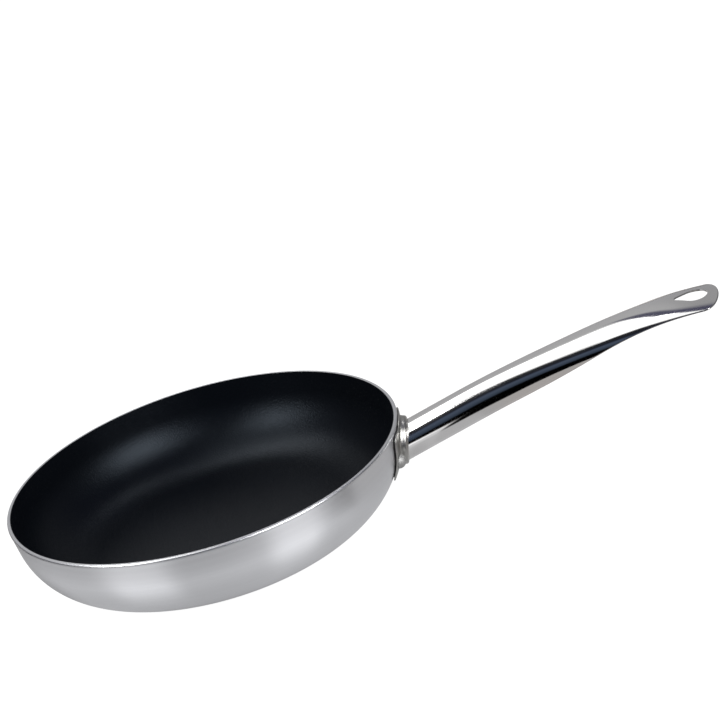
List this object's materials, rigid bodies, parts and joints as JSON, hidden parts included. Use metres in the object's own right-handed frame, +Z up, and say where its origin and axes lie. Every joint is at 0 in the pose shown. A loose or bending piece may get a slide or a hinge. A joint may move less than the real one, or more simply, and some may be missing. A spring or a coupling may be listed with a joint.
{
  "type": "omelette pan",
  "caption": "Round shallow pan with a non-stick lining and a long handle rolled from sheet metal, for frying omelettes on a hob.",
  "frame": {"origin": "centre of the underside of the flat base", "axes": "+Z up, +X along the handle, away from the pan"},
  "size_m": [0.4371, 0.2398, 0.0834],
  "materials": {
    "aluminium": "satin, turned in fine rings",
    "nonstick": "half-gloss baked coating with a fine grain",
    "bracket_steel": "polished stainless",
    "rivet_metal": "satin",
    "handle_steel": "mirror polished stainless sheet",
    "weld": "ground and polished"
  },
  "bodies": {
    "root": {"pan_body": "aluminium", "nonstick_coating": "nonstick", "bracket": "bracket_steel", "rivets": "rivet_metal", "handle_tube": "handle_steel", "weld_bead": "weld"}
  },
  "joints": []
}
